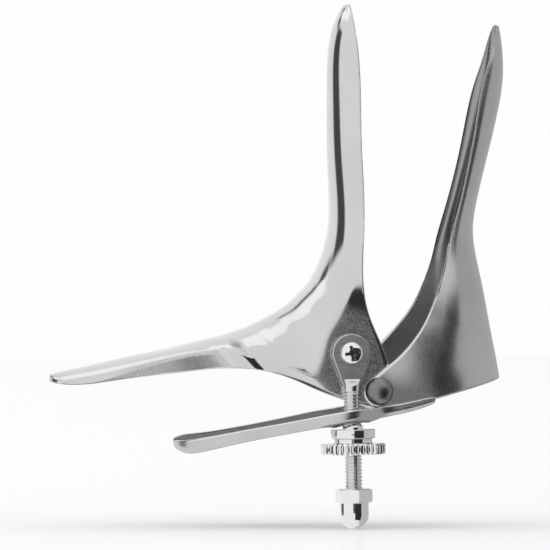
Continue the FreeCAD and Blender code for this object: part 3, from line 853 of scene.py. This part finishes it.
def eye_mesh():
    """Mesh of the flat eye with rounded edges, from a flat curve that is thickened and rounded."""
    edge = 0.3
    distance = math.hypot(ROD_R, EYE_NECK)
    tangent = math.atan2(-EYE_NECK, ROD_R) + math.acos(EYE_R / distance)
    curve = bpy.data.curves.new("eye_outline", "CURVE")
    curve.dimensions = "2D"
    curve.fill_mode = "BOTH"
    outline = []
    for t in np.linspace(tangent, math.pi - tangent, 73):
        outline.append((EYE_R * math.cos(t), EYE_R * math.sin(t)))
    left_foot = np.array((-ROD_R, -EYE_NECK))
    right_foot = np.array((ROD_R, -EYE_NECK))
    start = np.array(outline[-1])
    finish = np.array(outline[0])
    outline += [tuple(along(start, left_foot, share)) for share in (0.3, 0.6, 1.0)]
    outline += [tuple(along(right_foot, finish, share)) for share in (0.0, 0.4, 0.7)]
    turns = np.linspace(0, 2 * math.pi, 48, endpoint=False)
    hole = [(EYE_HOLE_R * math.cos(t), EYE_HOLE_R * math.sin(t)) for t in turns]
    for loop in (outline, hole):
        spline = curve.splines.new("POLY")
        spline.points.add(len(loop) - 1)
        for point, (x, y) in zip(spline.points, loop):
            point.co = (x * MM, y * MM, 0, 1)
        spline.use_cyclic_u = True
    curve.extrude = (EYE_THICK / 2 - edge) * MM
    curve.bevel_depth = edge * MM
    curve.bevel_resolution = 3
    curve.offset = -edge * MM
    holder = bpy.data.objects.new("eye_outline", curve)
    bpy.context.scene.collection.objects.link(holder)
    bpy.context.view_layer.update()
    mesh = bpy.data.meshes.new_from_object(holder)
    bpy.data.objects.remove(holder)
    mesh.transform(Matrix.Rotation(math.radians(90), 4, "X"))
    mesh.transform(Matrix.Translation(Vector((0, 0, EYE_Z)) * MM))
    return mesh


def shank_piece():
    """Threaded shank with a wedge-shaped end that runs into the flat eye."""
    top = EYE_Z - EYE_NECK
    wedge_top = top + 2.6
    thread_top = top - 1.0
    run_out = 1.2
    turn_samples = 12
    segments = 72
    angles = np.linspace(0, 2 * math.pi, segments, endpoint=False)
    rings = []
    heights = list(np.arange(ROD_BOTTOM_Z, thread_top, PITCH / turn_samples))
    heights += list(np.linspace(thread_top, wedge_top, 16))
    for z in heights:
        turn = ((z / PITCH) - angles / (2 * math.pi)) % 1.0
        crest = np.abs(turn - 0.5) * 2
        cut = np.clip((crest - 0.25) / 0.5, 0, 1) * THREAD_DEPTH
        fade = np.clip((thread_top - z) / run_out, 0, 1)
        radii = ROD_R - cut * fade
        x = radii * np.cos(angles)
        y = radii * np.sin(angles)
        rise = z - top
        if rise > 0:
            share = min(rise / NECK_TAPER_H, 1.0)
            limit = along(ROD_R, EYE_THICK / 2 - 0.05, share * share * (3 - 2 * share))
            y = np.clip(y, -limit, limit)
        rings.append(np.stack([x, y, np.full(segments, z)], 1))
    piece = mesh_object("shank_look", np.concatenate(rings), ring_faces(len(rings), segments))
    fix_normals(piece)
    plain_from = thread_top + 0.2
    for polygon in piece.data.polygons:
        polygon.material_index = int(polygon.center.z > plain_from * MM)
    sharp_by_angle(piece, 40)
    return on_rod(piece)


def rod_pieces():
    """Threaded shank and flat eye, each a piece on the leaned rod."""
    shank = shank_piece()
    eye = bpy.data.objects.new("eye_look", eye_mesh())
    bpy.context.scene.collection.objects.link(eye)
    for polygon in eye.data.polygons:
        polygon.use_smooth = True
    sharp_by_angle(eye, 35)
    return shank, on_rod(eye)


# Materials

def new_material(name):
    material = bpy.data.materials.new(name)
    material.use_nodes = True
    tree = material.node_tree
    return material, tree, tree.nodes["Principled BSDF"]


def link(tree, start, end):
    tree.links.new(start, end)


def feed(tree, value, socket):
    """Links a socket, or sets a plain number or a colour of three values."""
    if isinstance(value, bpy.types.NodeSocket):
        link(tree, value, socket)
    elif isinstance(value, (tuple, list)):
        socket.default_value = (*value, 1.0)
    else:
        socket.default_value = value


def math_node(tree, operation, *values):
    node = tree.nodes.new("ShaderNodeMath")
    node.operation = operation
    for socket, value in zip(node.inputs, values):
        feed(tree, value, socket)
    return node.outputs["Value"]


def coords(tree, scale=(1, 1, 1)):
    """Object coordinates in metres, stretched; they stay with the piece when it moves."""
    source = tree.nodes.new("ShaderNodeTexCoord")
    mapping = tree.nodes.new("ShaderNodeMapping")
    mapping.inputs["Scale"].default_value = scale
    link(tree, source.outputs["Object"], mapping.inputs["Vector"])
    return mapping.outputs["Vector"]


def noise(tree, vector, scale, detail=4.0, rough=0.5):
    node = tree.nodes.new("ShaderNodeTexNoise")
    node.inputs["Scale"].default_value = scale
    node.inputs["Detail"].default_value = detail
    node.inputs["Roughness"].default_value = rough
    link(tree, vector, node.inputs["Vector"])
    return node.outputs["Fac"]


def remap(tree, value, low, high, start=0.3, end=0.7):
    node = tree.nodes.new("ShaderNodeMapRange")
    node.inputs["From Min"].default_value = start
    node.inputs["From Max"].default_value = end
    node.inputs["To Min"].default_value = low
    node.inputs["To Max"].default_value = high
    link(tree, value, node.inputs["Value"])
    return node.outputs["Result"]


def mix(tree, kind, factor, one, two):
    node = tree.nodes.new("ShaderNodeMix")
    node.data_type = kind
    feed(tree, one, node.inputs["A"])
    feed(tree, two, node.inputs["B"])
    link(tree, factor, node.inputs["Factor"])
    return node.outputs["Result"]


def mix_colours(tree, factor, one, two):
    return mix(tree, "RGBA", factor, one, two)


def mix_values(tree, factor, one, two):
    return mix(tree, "FLOAT", factor, one, two)


def bump(tree, shader, height, strength, distance):
    node = tree.nodes.new("ShaderNodeBump")
    node.inputs["Strength"].default_value = strength
    node.inputs["Distance"].default_value = distance
    link(tree, height, node.inputs["Height"])
    link(tree, node.outputs["Normal"], shader.inputs["Normal"])


def steel(name, bright, dark, rough, grain, stretch, depth=0.000004):
    """Steel whose tone, gloss and fine grain vary; stretch sets the grain's direction."""
    material, tree, shader = new_material(name)
    shader.inputs["Metallic"].default_value = 1.0
    broad = noise(tree, coords(tree), 55.0, 3.0)
    fine = noise(tree, coords(tree, stretch), grain, 6.0, 0.6)
    tone = mix_colours(tree, remap(tree, broad, 0.0, 1.0), dark, bright)
    link(tree, tone, shader.inputs["Base Color"])
    link(tree, remap(tree, fine, rough[0], rough[1]), shader.inputs["Roughness"])
    bump(tree, shader, fine, 0.35, depth)
    return material


def mask_value(tree, name):
    node = tree.nodes.new("ShaderNodeAttribute")
    node.attribute_name = name
    return node.outputs["Fac"]


RAW_TONES = ((0.44, 0.44, 0.45), (0.66, 0.66, 0.67))
RAW_GLOSS = (0.17, 0.27)
# Rounded edges: the lighter tone is a painted highlight along the rims, and the smoother gloss is real
# polish.
EDGE_HIGHLIGHT_TONE = (0.80, 0.80, 0.79)
EDGE_ROUGH = 0.10
GRAIN_DEPTH = 0.000004         # metres
# Default tone of the hollow side, darker than the outside: painted shade in the hollow. Its rougher gloss
# is the real finish.
HOLLOW_SHADE_TONE = (0.40, 0.40, 0.39)
HOLLOW_GLOSS = (0.26, 0.34)


def pressing(name, outside, gloss, grain, stretch, inner=HOLLOW_SHADE_TONE, inner_gloss=HOLLOW_GLOSS):
    """Pressed steel: outside finish, a hollow side in a tone of its own (painted shade where it is darker
    than the outside, painted light where it is lighter), unbuffed grainy walls and rounded edges lightened
    as a painted highlight.

    outside is the darker and the lighter tone, gloss the two ends of the roughness.
    """
    material, tree, shader = new_material(name)
    shader.inputs["Metallic"].default_value = 1.0
    broad = remap(tree, noise(tree, coords(tree), 45.0, 4.0), 0.0, 1.0)
    fine = noise(tree, coords(tree, stretch), grain, 5.0, 0.6)
    speckle = noise(tree, coords(tree), 2400.0, 3.0, 0.7)
    tone = mix_colours(tree, broad, outside[0], outside[1])
    rough = remap(tree, fine, gloss[0], gloss[1])
    # The hollow side takes its own tone. It is painted shade where that tone is darker than the outside, as
    # on the valves, and painted light where it is lighter, as in the lever's tray. Its own gloss is the
    # real finish.
    hollow = mask_value(tree, "inside")
    shaded = [0.85 * v for v in inner]
    tone = mix_colours(tree, hollow, tone, mix_colours(tree, broad, shaded, inner))
    rough = mix_values(tree, hollow, rough, remap(tree, fine, inner_gloss[0], inner_gloss[1]))
    raw = mask_value(tree, "raw")
    pits = remap(tree, speckle, 0.0, 1.0)
    tone = mix_colours(tree, raw, tone, mix_colours(tree, pits, *RAW_TONES))
    rough = mix_values(tree, raw, rough, remap(tree, speckle, *RAW_GLOSS))
    # The rounded edges get a lighter tone, a painted highlight along the rims, and a smoother gloss, which
    # is real polish.
    edge = mask_value(tree, "edge")
    link(tree, mix_colours(tree, edge, tone, EDGE_HIGHLIGHT_TONE), shader.inputs["Base Color"])
    link(tree, mix_values(tree, edge, rough, EDGE_ROUGH), shader.inputs["Roughness"])
    grained = mix_values(tree, raw, fine, speckle)
    bump(tree, shader, grained, 0.15, GRAIN_DEPTH)
    return material


def assign(piece, material):
    piece.data.materials.clear()
    piece.data.materials.append(material)


def dress(piece, body, slot_name, material, *nodes):
    assign(piece, material)
    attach(piece, body)
    if nodes:
        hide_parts(*nodes)


def set_node_material(node, material):
    piece = frame["nodes"][node]
    if not piece.data.materials:
        piece.data.materials.append(material)
    for index in range(len(piece.material_slots)):
        piece.material_slots[index].material = material


def grey(tone):
    return (tone, tone, tone)


EVEN = (1, 1, 1)
SMOOTH_DEPTH = 0.000001        # metres


def dress_valves():
    polish = pressing("upper_polish_look", ((0.60, 0.605, 0.61), (0.67, 0.675, 0.68)), (0.08, 0.12),
                      1800.0, (1, 1, 0.3))
    satin = pressing("lower_satin_look", ((0.52, 0.53, 0.525), (0.62, 0.63, 0.62)), (0.25, 0.31),
                     2600.0, (1, 1, 0.35))
    upper = trough_piece("upper_valve_look", upper_rows(), UPPER_SECTIONS, raw=True)
    lower = trough_piece("lower_valve_look", lower_rows(), LOWER_SECTIONS, flare=True)
    dress(upper, "upper", "upper_polish", polish, "upper_valve")
    dress(lower, "lower", "lower_satin", satin, "lower_valve")


def dress_lever():
    # The tray's hollow side gets a lighter tone than its outside, which is painted light, and a rougher
    # gloss, which is its real finish.
    satin = pressing("lever_satin_look", ((0.50, 0.50, 0.49), (0.64, 0.64, 0.63)), (0.22, 0.34),
                     2200.0, (0.10, 1, 1), (0.78, 0.78, 0.77), (0.36, 0.46))
    lever = lever_piece("lower_lever_look")
    sharp_by_angle(lever, 35)
    dress(lever, "lower", "lever_satin", satin, "lower_lever")


def dress_rivets():
    # The rivet heads' dark grey base is a painted dark reflection and is darker than the steel's own tone.
    dark_reflection_ball = steel("rivet_look", grey(0.30), grey(0.22), (0.28, 0.38), 700.0, EVEN, SMOOTH_DEPTH)
    for node, side in (("hinge_rivet_near", -1), ("hinge_rivet_far", 1)):
        dress(rivet_piece(node, side), "lower", "rivet_polish", dark_reflection_ball, node)


def dress_screw_group():
    chrome = steel("nut_chrome_look", grey(0.86), grey(0.80), (0.05, 0.08), 900.0, EVEN, SMOOTH_DEPTH)
    thread = steel("rod_look", (0.78, 0.78, 0.77), (0.68, 0.68, 0.67), (0.12, 0.18), 900.0, EVEN,
                   SMOOTH_DEPTH)
    brushed = steel("eye_look", (0.62, 0.62, 0.60), (0.42, 0.42, 0.41), (0.24, 0.36), 1800.0,
                    (0.15, 1, 1), 0.00001)
    shank, eye = rod_pieces()
    dress(shank, "screw", "rod_steel", thread, "eye_rod")
    shank.data.materials.append(brushed)
    dress(eye, "screw", "rod_steel", brushed, "eye_rod")
    dress(screw_piece(), "upper", "screw_chrome", chrome, "eye_screw")
    dress(cap_nut_piece(), "screw", "nut_chrome", chrome, "cap_nut")
    dress(seat_washer_piece(), "washer", "nut_chrome", chrome, "seat_washer")
    dress(knurled_nut_piece(), "nut", "nut_chrome", chrome, "knurled_nut")
    bush = steel("bush_look", grey(0.62), grey(0.52), (0.2, 0.3), 900.0, EVEN)
    for node in ("eye_bush", "eye_nut"):
        set_node_material(node, bush)


def build_object():
    dress_valves()
    dress_lever()
    dress_rivets()
    dress_screw_group()


# Camera: the photograph's frame is 550 pixels wide at this scale in the screw's plane
FRAME_PX = 550
PX_PER_MM = 3.5
AZIMUTH = -5.0
ELEVATION = -0.2
DISTANCE = 1500.0
TARGET = (-29.9, -21.5, 33.3)
SENSOR_WIDTH = 36.0
VIEW_REACH = 20.0              # metres


# Studio

# What polished steel reflects, on a white ground. Azimuth 0 is the near side, -Y, 90 is +X.
# Each row: azimuth, elevation, half width, half height, soft edge in degrees, tone,
# rise of the elevation per degree of azimuth
REFLECTIONS = (
    (113.0, 0.0, 60.0, 62.0, 8.0, 0.55, 0.0),       # grey wall on the right
    (28.0, -11.0, 26.5, 32.0, 2.5, 0.03, 0.0),      # dark flag on the near side
    (-5.0, -2.6, 8.0, 1.2, 0.5, 0.03, 0.0),         # its lower left corner
    (-112.0, 9.0, 15.0, 15.0, 3.0, 0.08, 0.0),      # dark flag on the left
    (-136.0, 24.0, 7.0, 5.0, 3.0, 0.10, 0.0),       # its narrow arm
    (-146.0, 33.0, 4.0, 7.0, 3.0, 0.15, 0.0),       # the arm's upper end
    (-129.0, 36.0, 8.0, 8.0, 2.0, 1.30, 0.0),       # broad light on the left
    (-104.0, 52.0, 26.0, 11.0, 2.0, 1.30, 0.36),    # the same light, further round
    (-128.0, 71.0, 40.0, 15.0, 3.0, 1.30, 0.0),     # and overhead
)
BACKGROUND = 0.985             # white behind the object
REFLECTED = 0.97               # the white that metal sees
FILL = 0.95                    # even light on matt surfaces
FLOOR_TONE = 0.98
FLOOR_HALF = 4000.0
FLOOR_GLOSS = 0.10             # share of gloss in the floor
FLOOR_ROUGH = 0.08


def soft_band(tree, value, centre, half, edge):
    """1 within half of the centre, 0 beyond it, with a soft edge; value is in degrees."""
    offset = math_node(tree, "SUBTRACT", value, centre)
    size = math_node(tree, "ABSOLUTE", offset)
    node = tree.nodes.new("ShaderNodeMapRange")
    node.interpolation_type = "SMOOTHSTEP"
    node.inputs["From Min"].default_value = half + edge
    node.inputs["From Max"].default_value = half - edge
    link(tree, size, node.inputs["Value"])
    return node.outputs["Result"]


def world():
    studio_world = bpy.data.worlds.new("studio")
    bpy.context.scene.world = studio_world
    studio_world.use_nodes = True
    tree = studio_world.node_tree
    background = tree.nodes["Background"]
    source = tree.nodes.new("ShaderNodeTexCoord")
    split = tree.nodes.new("ShaderNodeSeparateXYZ")
    link(tree, source.outputs["Generated"], split.inputs["Vector"])
    near = math_node(tree, "MULTIPLY", split.outputs["Y"], -1.0)
    turn = math_node(tree, "ARCTAN2", split.outputs["X"], near)
    azimuth = math_node(tree, "DEGREES", turn)
    rise = math_node(tree, "ARCSINE", split.outputs["Z"])
    elevation = math_node(tree, "DEGREES", rise)
    seen = grey(REFLECTED)
    for centre, height, half, tall, edge, tone, slant in REFLECTIONS:
        across = soft_band(tree, azimuth, centre, half, edge)
        level = math_node(tree, "MULTIPLY_ADD", azimuth, -slant, elevation)
        upright = soft_band(tree, level, height - slant * centre, tall, edge)
        flag = math_node(tree, "MULTIPLY", across, upright)
        seen = mix_colours(tree, flag, seen, grey(tone))
    path = tree.nodes.new("ShaderNodeLightPath")
    glossy = path.outputs["Is Glossy Ray"]
    mirrored = math_node(tree, "MAXIMUM", glossy, path.outputs["Is Transmission Ray"])
    lit = mix_colours(tree, mirrored, grey(FILL), seen)
    colour = mix_colours(tree, path.outputs["Is Camera Ray"], lit, grey(BACKGROUND))
    link(tree, colour, background.inputs["Color"])
    background.inputs["Strength"].default_value = 1.0


def soft_lamp(name, azimuth, elevation, across, strength):
    """Broad soft lamp that shines from a direction; across is its width in degrees."""
    data = bpy.data.lights.new(name, "SUN")
    data.angle = math.radians(across)
    data.energy = strength
    lamp = bpy.data.objects.new(name, data)
    bpy.context.scene.collection.objects.link(lamp)
    out = direction(azimuth, elevation)
    lamp.location = out
    lamp.rotation_mode = "QUATERNION"
    lamp.rotation_quaternion = out.to_track_quat("Z", "Y")
    lamp.visible_glossy = False


def pale_floor():
    """Plain pale floor with a faint gloss; the steel doesn't mirror it."""
    low = cad_bounds[0][2] / MM
    corners = [(-FLOOR_HALF, -FLOOR_HALF, low), (FLOOR_HALF, -FLOOR_HALF, low),
               (FLOOR_HALF, FLOOR_HALF, low), (-FLOOR_HALF, FLOOR_HALF, low)]
    piece = mesh_object("floor", corners, [(0, 1, 2, 3)], smooth=False)
    material = bpy.data.materials.new("floor_white")
    material.use_nodes = True
    tree = material.node_tree
    tree.nodes.clear()
    matt = tree.nodes.new("ShaderNodeBsdfDiffuse")
    feed(tree, grey(FLOOR_TONE), matt.inputs["Color"])
    gloss = tree.nodes.new("ShaderNodeBsdfGlossy")
    gloss.inputs["Roughness"].default_value = FLOOR_ROUGH
    mixed = tree.nodes.new("ShaderNodeMixShader")
    mixed.inputs["Fac"].default_value = FLOOR_GLOSS
    output = tree.nodes.new("ShaderNodeOutputMaterial")
    link(tree, matt.outputs["BSDF"], mixed.inputs[1])
    link(tree, gloss.outputs["BSDF"], mixed.inputs[2])
    link(tree, mixed.outputs["Shader"], output.inputs["Surface"])
    piece.data.materials.append(material)
    piece.visible_glossy = False


def studio():
    world()
    pale_floor()
    soft_lamp("key", azimuth=-95.0, elevation=54.0, across=56.0, strength=0.30)


def camera():
    lens_data = bpy.data.cameras.new("camera")
    view = bpy.data.objects.new("camera", lens_data)
    bpy.context.scene.collection.objects.link(view)
    back = direction(AZIMUTH, ELEVATION)
    view.location = (Vector(TARGET) + back * DISTANCE) * MM
    view.rotation_mode = "QUATERNION"
    view.rotation_quaternion = back.to_track_quat("Z", "Y")
    lens_data.sensor_width = SENSOR_WIDTH
    lens_data.lens = lens_data.sensor_width * DISTANCE * PX_PER_MM / FRAME_PX
    lens_data.clip_end = VIEW_REACH
    bpy.context.scene.camera = view


build_object()
studio()
camera()
bpy.context.scene.view_settings.view_transform = "Standard"
